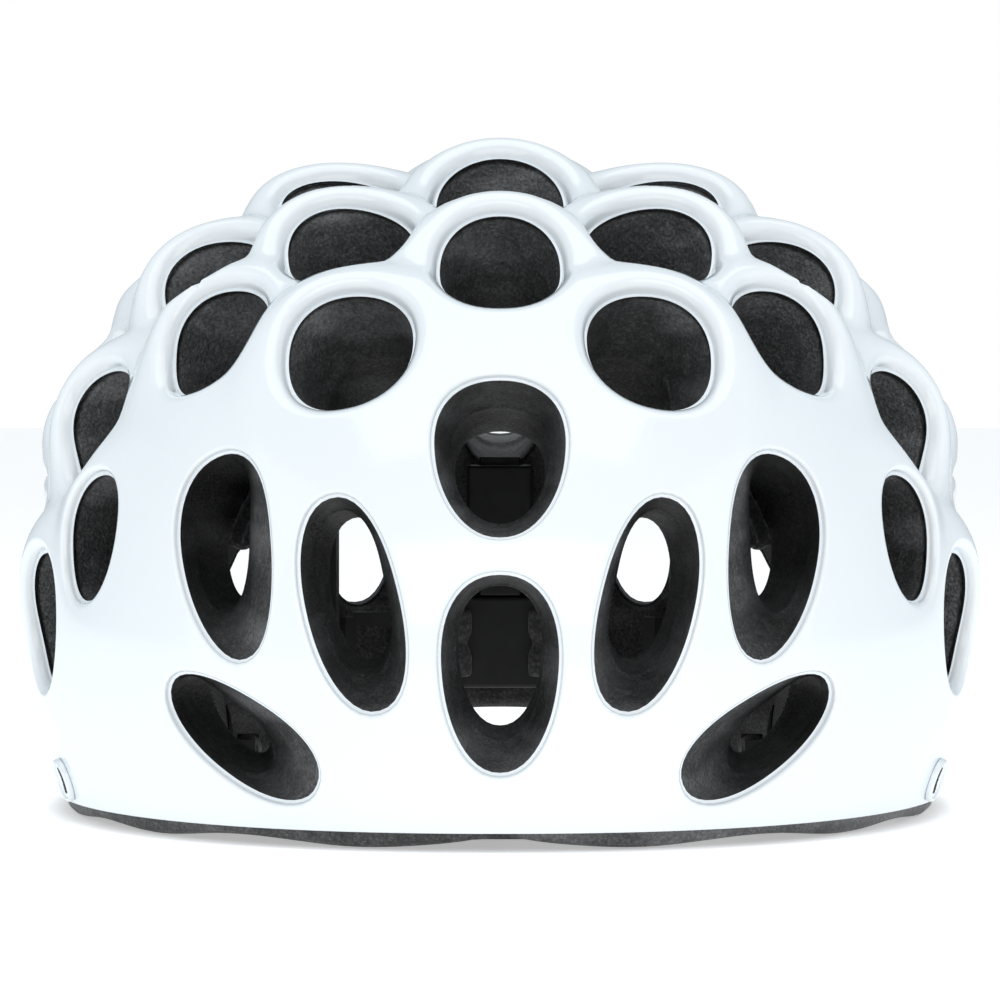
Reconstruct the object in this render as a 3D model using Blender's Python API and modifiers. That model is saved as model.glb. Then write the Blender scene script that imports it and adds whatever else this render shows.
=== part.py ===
"""Vented road cycling helmet: moulded shell, foam liner, pads, rear cradle with dial, and strap harness.

Front is -Y and up is +Z. The origin lies on the resting plane, under the middle of the helmet.
Lengths below are millimetres, drawn from a point MIDDLE_Y ahead of that origin; each mesh is moved there
and scaled to metres as it is made. The straps are stowed inside the head cavity; the harness joints
swing them down under the chin.
"""

import math

import bmesh
import bpy
import numpy as np
from mathutils import Matrix, Vector

MM = 0.001
GAP = 0.35
MIDDLE_Y = 2.9
SHARP_ANGLE = math.radians(40)

# Dome: a superellipsoid about DOME_CENTRE, tipped nose down by PITCH.
DOME_CENTRE = np.array([0.0, -2.3, 38.0])
PITCH = math.radians(3.45)
HALF_WIDTH = 106.0
FRONT_REACH = 138.0
REAR_REACH = 146.0
DOME_RISE = 102.0
DOME_DROP = 88.0
FULLNESS = 2.15
HOOD_RISE = 5.0
SHELL_WALL = 1.2
LINER_INSET = SHELL_WALL + 0.3
SHELL_EDGE = 3.5

# Head cavity in the liner, an ellipsoid.
CAVITY_CENTRE = np.array([0.0, 1.5, 30.0])
CAVITY_SIZE = np.array([78.0, 104.5, 82.0])

# Nape arch at the back of the rim: half width, height where it is full, and its rise towards the back.
ARCH_HALF, ARCH_HIGH = 57.0, 15.0
ARCH_FULL_Y, ARCH_SLOPE = 137.0, 0.04

# Vents: name, angle back from the brow, angle out to the side, half width, half length, lean, taper.
CENTRE_VENTS = (
    ("centre_1", 2.7, 12.6, 21.3, -0.14),
    ("centre_2", 22.5, 14.2, 19.3, -0.14),
    ("centre_3", 49.0, 13.8, 16.5, 0.0),
    ("centre_4", 71.0, 15.0, 17.0, 0.0),
    ("centre_5", 96.0, 15.0, 19.0, 0.0),
    ("centre_6", 124.0, 15.0, 22.0, 0.0),
    ("centre_7", 156.0, 14.0, 25.0, 0.0),
)
PAIRED_VENTS = (
    ("brow_inner", 9.0, 13.0, 10.7, 24.0, 15.0, 0.0),
    ("brow_outer", 14.4, 26.0, 12.3, 24.0, 14.0, -0.16),
    ("lip", -3.9, 24.3, 9.6, 21.3, 65.0, 0.12),
    ("crown_1", 36.5, 15.0, 14.4, 16.8, 0.0, 0.0),
    ("crown_2", 58.0, 17.0, 14.4, 15.5, 0.0, 0.0),
    ("crown_3", 80.0, 19.5, 14.5, 17.0, 0.0, 0.0),
    ("crown_4", 106.0, 20.5, 15.0, 21.0, 0.0, 0.0),
    ("crown_5", 137.0, 21.0, 14.0, 24.0, 0.0, 0.0),
    ("crown_6", 174.5, 14.5, 13.0, 25.0, 0.0, 0.0),
    ("temple_1", 21.0, 47.5, 11.7, 14.5, -3.0, 0.0),
    ("side_1", 45.5, 31.5, 12.5, 15.0, -10.0, 0.0),
    ("side_2", 65.5, 35.0, 13.5, 15.5, -5.0, 0.0),
    ("side_3", 93.0, 40.5, 14.0, 19.0, 0.0, 0.0),
    ("side_4", 126.0, 40.5, 13.5, 19.0, 0.0, 0.0),
    ("side_5", 156.0, 37.0, 13.0, 18.5, 0.0, 0.0),
    ("side_6", 178.5, 29.0, 13.0, 16.5, 0.0, 0.0),
    ("low_1", 46.5, 51.5, 11.5, 15.0, -5.0, 0.0),
    ("low_2", 9.5, 62.5, 12.0, 15.0, 0.0, 0.0),
    ("low_3", 82.0, 58.5, 13.0, 17.5, 0.0, 0.0),
    ("low_4", 121.5, 60.0, 13.0, 17.0, 0.0, 0.0),
    ("flank_1", 79.0, 76.0, 10.5, 19.0, 11.0, 0.0),
    ("flank_2", 156.5, 64.5, 10.0, 17.5, -67.0, 0.0),
)
VENT_FULLNESS = 2.2
VENT_SIDES = 12

# Room between a pad and the faceted cavity wall.
PAD_CLEAR = 1.4

# White plugs low on each temple, placed by the same two angles as the vents.
PLUG_HEADING = (-24.0, 56.0)
PLUG_RADIUS = 5.0
PLUG_DEPTH = 6.0
PLUG_PROUD = 0.8
PLUG_SLACK = 0.4

# Strap harness. The swing axis runs fore and aft along the inner edge of the rim.
SWING_X, SWING_Z = 59.5, 8.0
FRONT_ANCHOR_Y, REAR_ANCHOR_Y = -40.0, 42.0
WEB_WIDTH, WEB_THICK = 15.0, 1.6
PIN_RADIUS = 1.5
LOOP_RADIUS = PIN_RADIUS + GAP + WEB_THICK / 2
STRAP_BULGE = 8.0
STRAP_SPACING = 8.3
STRAP_ROWS = (("front", FRONT_ANCHOR_Y, -STRAP_SPACING), ("rear", REAR_ANCHOR_Y, STRAP_SPACING))
SLOT_SLACK = 0.9
DIVIDER_LOW = (54.5, -17.5, 64.0)
DIVIDER_HIGH = (61.0, 17.5, 80.0)
LEVER_PIVOT = (52.6, 66.8)
CHIN_PIN_X, CHIN_PIN_Z = 44.0, 88.0
CHIN_X = CHIN_PIN_X - LOOP_RADIUS
RIGHT_CHIN_END = 32.0
LEFT_CHIN_END = 61.2
BUCKLE_TOP, BUCKLE_MOUTH = 66.0, 34.0
PRONG_PIVOT_Y, PRONG_PIVOT_Z = 7.6, 35.0
KEEPER_Z = (46.0, 52.0)
CHIN_PAD_Z = (58.0, 78.0)

# Rear cradle and dial.
CRADLE_Z = 31.0
RACK_Y = 87.0
CASE_HALF_WIDTH, CASE_HALF_HEIGHT = 24.0, 11.0
COVER_Y = (82.4, 84.5)
CASE_Y = (84.9, 91.0)
KNOB_Y = (92.0, 101.0)
SPRING_Y = 93.0
KNOB_RADIUS = 12.5
KNOB_LOBES = 14
PINION_RADIUS = 3.4
PINION_TEETH = 12
ARM_HALF_HEIGHT = 6.0
ARM_THICK = 1.8
STRUT_TOP = 76.0
RAIL_Z = (44.5, 74.0)

for thing in list(bpy.data.objects):
    bpy.data.objects.remove(thing)

parts = bpy.data.collections.new("cycling_helmet")
cutters = bpy.data.collections.new("cutters")
for group in (parts, cutters):
    bpy.context.scene.collection.children.link(group)


def material(name, colour, roughness, metallic=0.0):
    made = bpy.data.materials.new(name)
    made.use_nodes = True
    shader = made.node_tree.nodes["Principled BSDF"]
    shader.inputs["Base Color"].default_value = (*colour, 1.0)
    shader.inputs["Roughness"].default_value = roughness
    shader.inputs["Metallic"].default_value = metallic
    return made


WHITE_GLOSS = material("white_gloss_shell", (0.88, 0.91, 0.94), 0.14)
BLACK_FOAM = material("black_bead_foam", (0.025, 0.025, 0.027), 0.8)
BLACK_PLASTIC = material("black_moulded_plastic", (0.03, 0.03, 0.032), 0.45)
BLACK_WEBBING = material("black_webbing", (0.028, 0.028, 0.03), 0.85)
PAD_CLOTH = material("grey_pad_cloth", (0.09, 0.09, 0.095), 0.95)
SPRING_STEEL = material("spring_steel", (0.6, 0.6, 0.62), 0.3, 1.0)


# ---------------------------------------------------------------- helpers


def place(bm, name, surface, smooth=False):
    """A named object from bm, whose points are millimetres."""
    bmesh.ops.translate(bm, vec=(0, -MIDDLE_Y, 0), verts=bm.verts)
    bmesh.ops.scale(bm, vec=(MM, MM, MM), verts=bm.verts)
    bmesh.ops.recalc_face_normals(bm, faces=bm.faces)
    mesh = bpy.data.meshes.new(name)
    bm.to_mesh(mesh)
    bm.free()
    mesh.materials.append(surface)
    if smooth:
        mesh.shade_smooth()
        mesh.set_sharp_from_angle(angle=SHARP_ANGLE)
    made = bpy.data.objects.new(name, mesh)
    parts.objects.link(made)
    return made


def box(name, low, high, surface, bevel=0.0):
    bm = bmesh.new()
    bmesh.ops.create_cube(bm, size=1.0)
    low, high = Vector(low), Vector(high)
    for vert in bm.verts:
        vert.co = Vector(low[i] + (vert.co[i] + 0.5) * (high[i] - low[i]) for i in range(3))
    made = place(bm, name, surface)
    if bevel:
        rounding = made.modifiers.new("rounded_edges", "BEVEL")
        rounding.width = bevel * MM
        rounding.segments = 2
    return made


def rod(name, start, end, radius, surface, sides=20):
    """A cylinder from start to end."""
    start, end = Vector(start), Vector(end)
    bm = bmesh.new()
    bmesh.ops.create_cone(
        bm, cap_ends=True, segments=sides, radius1=radius, radius2=radius, depth=(end - start).length
    )
    turn = (end - start).to_track_quat("Z", "Y").to_matrix().to_4x4()
    bmesh.ops.transform(bm, matrix=Matrix.Translation((start + end) / 2) @ turn, verts=bm.verts)
    return place(bm, name, surface, smooth=True)


def sheet(name, spot, along, across, thick, surface):
    """A grid of along by across squares, laid out by spot(u, v) for u and v in 0..1, then thickened."""
    bm = bmesh.new()
    bmesh.ops.create_grid(bm, x_segments=along, y_segments=across, size=0.5)
    for vert in bm.verts:
        vert.co = Vector(spot(vert.co.x + 0.5, vert.co.y + 0.5))
    made = place(bm, name, surface)
    wall = made.modifiers.new("thickness", "SOLIDIFY")
    wall.thickness = thick * MM
    wall.offset = 0.0
    wall.use_even_offset = True
    return made


def ribbon(name, path, across, width, thick, surface):
    """Flat webbing of one width along path; across holds the width's direction at each point."""
    last = len(path) - 1

    def spot(u, v):
        at = min(int(round(u * last)), last)
        return Vector(path[at]) + Vector(across[at]).normalized() * ((v - 0.5) * width)

    return sheet(name, spot, last, 1, thick, surface)


def as_cutter(piece):
    for holder in list(piece.users_collection):
        holder.objects.unlink(piece)
    cutters.objects.link(piece)
    piece.hide_render = True
    piece.display_type = "WIRE"
    return piece


def combine(base, operation, *others):
    for other in others:
        as_cutter(other)
        step = base.modifiers.new(f"{operation.lower()}_{other.name}"[:60], "BOOLEAN")
        step.operation = operation
        step.solver = "EXACT"
        step.object = other
    return base


def cut(base, *others):
    return combine(base, "DIFFERENCE", *others)


def fuse(base, *others):
    return combine(base, "UNION", *others)


def arc(centre, radius, first, last, count):
    """Points (x, z) on an arc; angles in degrees from +Z towards +X."""
    angles = np.radians(np.linspace(first, last, count))
    return [(centre[0] + radius * math.sin(a), centre[1] + radius * math.cos(a)) for a in angles]


# ---------------------------------------------------------------- dome and vents


def dome_radius(d):
    """Distance from the dome's centre to its surface along unit direction d, in the dome's own axes."""
    reach = REAR_REACH if d[1] > 0 else FRONT_REACH
    rise = DOME_RISE if d[2] > 0 else DOME_DROP
    total = (
        abs(d[0] / HALF_WIDTH) ** FULLNESS
        + abs(d[1] / reach) ** FULLNESS
        + abs(d[2] / rise) ** FULLNESS
    )
    return total ** (-1 / FULLNESS)


def hood(d):
    """Mean height of the vent hoods over the crown."""
    t = min(max((d[2] - 0.35) / 0.4, 0.0), 1.0)
    return HOOD_RISE * t * t * (3 - 2 * t)


def tipped(point):
    """From the dome's own axes to the helmet's."""
    x, y, z = point
    c, s = math.cos(PITCH), math.sin(PITCH)
    return np.array([x, y * c - z * s, y * s + z * c]) + DOME_CENTRE


def heading(back, side):
    b, s = math.radians(back), math.radians(side)
    return np.array([math.sin(s), -math.cos(s) * math.cos(b), math.cos(s) * math.sin(b)])


def vents():
    """Every vent as (name, back, side, half width, half length, lean, taper), left ones mirrored."""
    for name, back, width, length, taper in CENTRE_VENTS:
        yield name, back, 0.0, width, length, 0.0, taper
    for name, back, side, width, length, lean, taper in PAIRED_VENTS:
        yield name + "_right", back, side, width, length, lean, taper
        yield name + "_left", back, -side, width, length, -lean, taper


def vent_ring(vent, reach, spread):
    """The vent's outline, reach times as far out as the dome and spread times its size."""
    _, back, side, width, length, lean, taper = vent
    d = heading(back, side)
    rearward = heading(back + 0.5, side) - heading(back - 0.5, side)
    rearward /= np.linalg.norm(rearward)
    outward = np.cross(rearward, d)
    turn = math.radians(lean)
    up = rearward * math.cos(turn) + outward * math.sin(turn)
    across = outward * math.cos(turn) - rearward * math.sin(turn)
    middle = d * (dome_radius(d) + hood(d)) * reach
    for step in range(VENT_SIDES):
        a = 2 * math.pi * (step + 0.5) / VENT_SIDES
        c, s = math.cos(a), math.sin(a)
        r = (abs(c / width) ** VENT_FULLNESS + abs(s / length) ** VENT_FULLNESS) ** (-1 / VENT_FULLNESS)
        y = r * s
        x = r * c * (1 - taper * y / length)
        yield tipped(middle + (across * x + up * y) * spread)


def vent_cutters(name):
    """All the vent tunnels as one mesh: each starts as a cone and takes the vent's outline at both ends."""
    bm = bmesh.new()
    for vent in vents():
        outer = list(vent_ring(vent, reach=1.16, spread=1.18))
        inner = list(vent_ring(vent, reach=0.55, spread=0.5))
        made = bmesh.ops.create_cone(
            bm, cap_ends=True, segments=VENT_SIDES, radius1=1.0, radius2=1.0, depth=2.0
        )
        for vert in made["verts"]:
            turn = math.atan2(vert.co.y, vert.co.x) / (2 * math.pi) * VENT_SIDES
            ring = outer if vert.co.z > 0 else inner
            vert.co = Vector(ring[int(round(turn)) % VENT_SIDES])
    return as_cutter(place(bm, name, BLACK_FOAM))


def dome_skin(name, lowest, inset, surface):
    """The dome as an open skin down to height lowest, drawn in along its normals by inset."""
    bm = bmesh.new()
    bmesh.ops.create_icosphere(bm, subdivisions=3, radius=1.0)
    for vert in bm.verts:
        d = np.array(vert.co.normalized())
        vert.co = Vector(tipped(d * (dome_radius(d) + hood(d))))
    bm.normal_update()
    for vert, normal in [(vert, vert.normal.copy()) for vert in bm.verts]:
        vert.co -= normal * inset
    bmesh.ops.bisect_plane(
        bm,
        geom=bm.verts[:] + bm.edges[:] + bm.faces[:],
        plane_co=(0, 0, lowest),
        plane_no=(0, 0, 1),
        clear_inner=True,
    )
    if inset:
        bmesh.ops.contextual_create(bm, geom=[edge for edge in bm.edges if edge.is_boundary])
    return place(bm, name, surface, smooth=True)


def arch_cutter(name, grow):
    """An elliptical bar through the back of the rim, sloping up towards the back."""
    made = rod(name, (0, 40, 0), (0, 170, 0), 1.0, BLACK_FOAM, sides=28)
    for vert in made.data.vertices:
        vert.co.x *= ARCH_HALF + grow
        vert.co.z *= ARCH_HIGH + grow
        vert.co.z += (vert.co.y - ARCH_FULL_Y * MM) * ARCH_SLOPE
    return made


def plug_axis(side):
    """Place of a temple plug and the outward direction of the shell there."""
    back, out = PLUG_HEADING

    def skin(back_step, out_step):
        d = heading(back + back_step, side * (out + out_step))
        return tipped(d * dome_radius(d))

    normal = np.cross(skin(1, 0) - skin(-1, 0), skin(0, 1) - skin(0, -1))
    normal *= np.sign(normal[0]) * side / np.linalg.norm(normal)
    return Vector(skin(0, 0)), Vector(normal)


def plug_pockets(name):
    """Round holes for the temple plugs, deeper than the plugs and open to the outside."""
    rods = []
    for side in (-1, 1):
        at, normal = plug_axis(side)
        inner, outer = at - normal * (PLUG_DEPTH + 3.4), at + normal * 2 * PLUG_DEPTH
        rods.append(rod(f"{name}_{side + 1}", inner, outer, PLUG_RADIUS + PLUG_SLACK, BLACK_FOAM))
    return rods


def make_shell():
    shell = dome_skin("outer_shell", SHELL_EDGE, 0.0, WHITE_GLOSS)
    wall = shell.modifiers.new("shell_wall", "SOLIDIFY")
    wall.thickness = SHELL_WALL * MM
    wall.offset = -1.0
    cut(
        shell,
        vent_cutters("shell_vents"),
        arch_cutter("shell_arch", SHELL_EDGE),
        *plug_pockets("shell_plug"),
    )


def cavity_cutter():
    bm = bmesh.new()
    bmesh.ops.create_uvsphere(bm, u_segments=32, v_segments=16, radius=1.0)
    bmesh.ops.scale(bm, vec=Vector(CAVITY_SIZE), verts=bm.verts)
    bmesh.ops.translate(bm, vec=Vector(CAVITY_CENTRE), verts=bm.verts)
    return place(bm, "head_cavity", BLACK_FOAM, smooth=True)


def make_liner():
    liner = dome_skin("foam_liner", 0.0, LINER_INSET, BLACK_FOAM)
    cut(
        liner,
        cavity_cutter(),
        vent_cutters("liner_vents"),
        arch_cutter("liner_arch", 0.0),
        *plug_pockets("liner_plug"),
    )


def make_plugs():
    for side, word in ((-1, "left"), (1, "right")):
        at, normal = plug_axis(side)
        foot, face = at - normal * PLUG_DEPTH, at + normal * PLUG_PROUD
        rod(f"temple_plug_{word}", foot, face, PLUG_RADIUS, WHITE_GLOSS, sides=24)


# ---------------------------------------------------------------- pads


def cavity_point(across, back, inset):
    """A point on the cavity wall, inset millimetres in from it. Angles in degrees: across is the
    bearing from the front towards +X, back is the height angle above the cavity's centre."""
    a, b = math.radians(across), math.radians(back)
    d = np.array([math.sin(a) * math.cos(b), -math.cos(a) * math.cos(b), math.sin(b)])
    on_wall = d * CAVITY_SIZE
    normal = d / CAVITY_SIZE
    return CAVITY_CENTRE + on_wall - normal / np.linalg.norm(normal) * inset


def wall_pad(name, bearing, height, thick, steps):
    """A pad lying on the cavity wall over a range of bearing and height angles."""

    def spot(u, v):
        return cavity_point(
            bearing[0] + u * (bearing[1] - bearing[0]),
            height[0] + v * (height[1] - height[0]),
            PAD_CLEAR + thick / 2,
        )

    sheet(name, spot, steps[0], steps[1], thick, PAD_CLOTH)


def crown_pad(name, side):
    """A fore and aft pad under the rib beside the centre row of vents."""
    reach, width, off, thick = 42.0, 11.0, 17.5, 6.0

    def spot(u, v):
        x = side * off + (v - 0.5) * width
        y = (u - 0.5) * 2 * reach
        share = (x / CAVITY_SIZE[0]) ** 2 + ((y - CAVITY_CENTRE[1]) / CAVITY_SIZE[1]) ** 2
        z = CAVITY_CENTRE[2] + CAVITY_SIZE[2] * math.sqrt(1 - share)
        return (x, y, z - PAD_CLEAR - thick / 2)

    sheet(name, spot, 8, 1, thick, PAD_CLOTH)


def make_pads():
    wall_pad("brow_pad", (-44.0, 44.0), (-17.5, -11.0), 5.0, (16, 1))
    for side, word in ((-1, "left"), (1, "right")):
        crown_pad(f"crown_pad_{word}", side)
        wall_pad(f"temple_pad_{word}", (side * 33.0, side * 58.0), (21.0, 38.0), 5.0, (4, 3))


# ---------------------------------------------------------------- harness


def side_box(name, side, low, high, surface, bevel=0.0):
    """A box given for the right side, mirrored for the left."""
    if side < 0:
        low, high = (-high[0], low[1], low[2]), (-low[0], high[1], high[2])
    return box(name, low, high, surface, bevel)


def strap_anchor(name, side, y):
    """Moulded anchor at the rim: a pin for the webbing loop, held between two feet."""
    x, z = side * SWING_X, SWING_Z
    half = WEB_WIDTH / 2 + 1.0
    pin = rod(name, (x, y - half - 1.0, z), (x, y + half + 1.0, z), PIN_RADIUS, BLACK_PLASTIC, sides=16)
    feet = []
    for end in (-1, 1):
        near, far = sorted((y + end * half, y + end * (half + 2.0)))
        low, high = (x - 2.6, near, z - 3), (x + 2.6, far, z + 3)
        feet.append(box(f"{name}_foot_{end + 1}", low, high, BLACK_PLASTIC))
    fuse(pin, *feet)


def strap_path(side, anchor_y, divider_y, past_end):
    """Webbing centreline and width directions: round the anchor pin, up the wall, into the divider."""
    path = [(side * x, anchor_y, z) for x, z in arc((SWING_X, SWING_Z), LOOP_RADIUS, 335, 90, 11)]
    across = [(0, 1, 0)] * len(path)
    start = Vector((SWING_X + LOOP_RADIUS, anchor_y, SWING_Z + 1.5))
    end = Vector(((DIVIDER_LOW[0] + DIVIDER_HIGH[0]) / 2, divider_y, DIVIDER_LOW[2] + 6.0))
    lean = (end - start).normalized()
    flat = Vector((0, lean.z, -lean.y)).normalized()
    steps = 10
    for step in range(steps + 1):
        t = step / steps
        point = start.lerp(end, t) + lean * (past_end if step == steps else 0.0)
        bulge = STRAP_BULGE * math.sin(math.pi * min(t / 0.88, 1.0))
        path.append((side * (point.x + bulge), point.y, point.z))
        across.append(tuple(Vector((0, 1, 0)).lerp(flat, min(t * 3, 1.0))))
    return path, across


def make_divider(side, word):
    """Side divider: takes both straps in slots and carries the pin that the chin strap loops round."""
    body = side_box(f"divider_{word}", side, DIVIDER_LOW, DIVIDER_HIGH, BLACK_PLASTIC, bevel=1.2)
    x, z = side * CHIN_PIN_X, CHIN_PIN_Z
    reach = WEB_WIDTH / 2 + 2.4
    root = (side * (DIVIDER_LOW[0] + 2.5), DIVIDER_HIGH[2] - 2.5)
    for end in (-1, 1):
        foot, tip = (root[0], end * reach, root[1]), (x, end * reach, z)
        fuse(body, rod(f"divider_arm_{word}_{end + 1}", foot, tip, 1.7, BLACK_PLASTIC, sides=12))
    ends = (x, -reach - 1.2, z), (x, reach + 1.2, z)
    fuse(body, rod(f"divider_pin_{word}", *ends, PIN_RADIUS, BLACK_PLASTIC, sides=16))
    for end, anchor_y, y in STRAP_ROWS:
        path, across = strap_path(side, anchor_y, y, past_end=0.5)
        size = WEB_WIDTH + SLOT_SLACK, WEB_THICK + SLOT_SLACK
        cut(body, ribbon(f"slot_{end}_{word}", path[-4:], across[-4:], *size, BLACK_PLASTIC))


def make_lever(side, word):
    """Cam lever on the divider, hinged at its rim end."""
    x, z = LEVER_PIVOT
    low, high = (x - 1.2, -6, z - 0.4), (x + 1.2, 6, z + 8.2)
    flap = side_box(f"divider_lever_{word}", side, low, high, BLACK_PLASTIC, 0.5)
    ends = (side * x, -6.8, z), (side * x, 6.8, z)
    fuse(flap, rod(f"lever_barrel_{word}", *ends, 1.35, BLACK_PLASTIC, sides=14))


def make_chin_strap(side, word, end_z):
    path = [(side * x, 0, z) for x, z in arc((CHIN_PIN_X, CHIN_PIN_Z), LOOP_RADIUS, 515, 270, 11)]
    path += [(side * CHIN_X, 0, z) for z in np.linspace(CHIN_PIN_Z - 2, end_z, 7)]
    return ribbon(f"chin_strap_{word}", path, [(0, 1, 0)] * len(path), WEB_WIDTH, WEB_THICK, BLACK_WEBBING)


def make_buckle():
    """Side-release buckle on the left chin strap, stowed mouth down."""
    x = -CHIN_X
    top, mouth = BUCKLE_TOP, BUCKLE_MOUTH
    female = box("buckle_female", (x - 4.5, -13, mouth), (x + 4.5, 13, top), BLACK_PLASTIC, 1.4)
    cut(
        female,
        box("buckle_channel", (x - 2.8, -10.6, mouth - 1), (x + 2.8, 10.6, top - 6), BLACK_PLASTIC),
        box("buckle_windows", (x - 2.8, -14, mouth - 1), (x + 2.8, 14, top - 14), BLACK_PLASTIC),
        box("buckle_slot", (x - 1.2, -7.9, top - 5.4), (x + 1.2, 7.9, top + 1), BLACK_PLASTIC),
    )
    base_top = mouth - 0.4
    low, high = (x - 4.0, -12.5, base_top - 14), (x + 4.0, 12.5, base_top)
    male = box("buckle_male", low, high, BLACK_PLASTIC, 1.2)
    low, high = (x - 1.9, -3, base_top - 2), (x + 1.9, 3, mouth + 24)
    fuse(male, box("buckle_tongue", low, high, BLACK_PLASTIC, 0.6))
    low, high = (x - 6, -8.2, base_top - 11.4), (x + 6, 8.2, base_top - 4.6)
    cut(male, box("buckle_ladder", low, high, BLACK_PLASTIC))
    for end, word in ((-1, "front"), (1, "rear")):
        near, far = sorted((end * 5.8, end * 9.4))
        low, high = (x - 2.3, near, mouth + 0.1), (x + 2.3, far, mouth + 23)
        prong = box(f"buckle_prong_{word}", low, high, BLACK_PLASTIC)
        near, far = sorted((end * 9.0, end * 12.9))
        low, high = (x - 2.3, near, mouth + 4), (x + 2.3, far, mouth + 16)
        fuse(prong, box(f"prong_pad_{word}", low, high, BLACK_PLASTIC, 0.8))


def sleeve(name, x, half_width, half_thick, span, slack, surface, bevel):
    """A flat sleeve round the chin webbing."""
    low, high = (x - half_thick, -half_width, span[0]), (x + half_thick, half_width, span[1])
    body = box(name, low, high, surface, bevel)
    across, through = WEB_WIDTH / 2 + slack, WEB_THICK / 2 + slack
    low, high = (x - through, -across, span[0] - 2), (x + through, across, span[1] + 2)
    cut(body, box(f"{name}_hole", low, high, surface))


def make_harness():
    for side, word in ((-1, "left"), (1, "right")):
        strap_anchor(f"front_anchor_{word}", side, FRONT_ANCHOR_Y)
        strap_anchor(f"rear_anchor_{word}", side, REAR_ANCHOR_Y)
        for end, anchor_y, y in STRAP_ROWS:
            path, across = strap_path(side, anchor_y, y, past_end=0.0)
            ribbon(f"strap_{end}_{word}", path, across, WEB_WIDTH, WEB_THICK, BLACK_WEBBING)
        make_divider(side, word)
        make_lever(side, word)
    make_chin_strap(-1, "left", LEFT_CHIN_END)
    make_chin_strap(1, "right", RIGHT_CHIN_END)
    make_buckle()
    sleeve("strap_keeper", CHIN_X, 9.3, 2.75, KEEPER_Z, 0.5, BLACK_PLASTIC, 0.6)
    sleeve("chin_pad", CHIN_X, 9.6, 2.7, CHIN_PAD_Z, 0.4, PAD_CLOTH, 0.8)


# ---------------------------------------------------------------- rear cradle


def make_band(side, word):
    """Headband arm: a strip round the back of the head with a narrow rack that enters the case."""
    path = [(35, 87), (38, 85.8), (41, 82.8), (45, 77), (50, 68), (55, 57)]
    arm = ribbon(
        f"band_{word}",
        [(side * x, y, CRADLE_Z) for x, y in path],
        [(0, 0, 1)] * len(path),
        2 * ARM_HALF_HEIGHT,
        ARM_THICK,
        BLACK_PLASTIC,
    )
    low = PINION_RADIUS + 0.4 if side < 0 else -PINION_RADIUS - 3.8
    rack = side_box(
        f"rack_{word}",
        side,
        (-12, RACK_Y - ARM_THICK / 2, CRADLE_Z + low),
        (35.6, RACK_Y + ARM_THICK / 2, CRADLE_Z + low + 3.4),
        BLACK_PLASTIC,
    )
    fuse(arm, rack)


def ridged_disc(name, y, radius, depth, lobes, surface, per_lobe=4):
    """A disc about the dial's axis whose rim runs in and out by depth, lobes times."""
    disc = rod(name, (0, y[0], CRADLE_Z), (0, y[1], CRADLE_Z), radius, surface, sides=lobes * per_lobe)
    for vert in disc.data.vertices:
        x, z = vert.co.x / MM, vert.co.z / MM - CRADLE_Z
        turn = math.atan2(z, x)
        scale = 1 - depth / radius * (0.5 + 0.5 * math.cos(lobes * turn))
        vert.co.x = x * scale * MM
        vert.co.z = (z * scale + CRADLE_Z) * MM
    return disc


def axial(name, y, radius, sides=20):
    return rod(name, (0, y[0], CRADLE_Z), (0, y[1], CRADLE_Z), radius, BLACK_PLASTIC, sides)


def make_dial():
    pinion = ridged_disc("dial_pinion", (85.0, 88.6), PINION_RADIUS, 0.7, PINION_TEETH, BLACK_PLASTIC)
    fuse(pinion, axial("pinion_shaft", (88.0, 95.9), 2.0))
    cut(pinion, axial("pinion_bore", (92.0, 97.0), 1.35, 14))
    knob = ridged_disc("dial_knob", KNOB_Y, KNOB_RADIUS, 1.1, KNOB_LOBES, BLACK_PLASTIC)
    pocket = axial("knob_pocket", (KNOB_Y[0] - 1, KNOB_Y[0] + 3), 10.0, 28)
    cut(pocket, axial("knob_hub", (KNOB_Y[0] - 2, KNOB_Y[0] + 4), 4.2))
    cut(
        knob,
        pocket,
        axial("knob_shaft_bore", (KNOB_Y[0] - 1, 96.3), 2.35),
        axial("knob_screw_bore", (95.0, 99.5), 1.4, 14),
        axial("knob_screw_recess", (98.6, 102.0), 3.4),
    )
    screw = axial("dial_screw", (98.95, 100.5), 3.0)
    fuse(screw, axial("screw_shank", (92.6, 99.2), 1.0, 12))

    wire = bpy.data.curves.new("detent_spring", "CURVE")
    wire.dimensions = "3D"
    wire.bevel_depth = 0.45 * MM
    wire.bevel_resolution = 1
    wire.use_fill_caps = True
    line = wire.splines.new("POLY")
    bends = [(9.2, 20.0)] + [(7.0, angle) for angle in range(35, 326, 15)] + [(9.2, 340.0)]
    line.points.add(len(bends) - 1)
    for point, (radius, degrees) in zip(line.points, bends):
        a = math.radians(degrees)
        place_mm = Vector((radius * math.cos(a), SPRING_Y - MIDDLE_Y, CRADLE_Z + radius * math.sin(a)))
        point.co = (*(place_mm * MM), 1.0)
    wire.materials.append(SPRING_STEEL)
    parts.objects.link(bpy.data.objects.new("detent_spring", wire))


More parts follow.
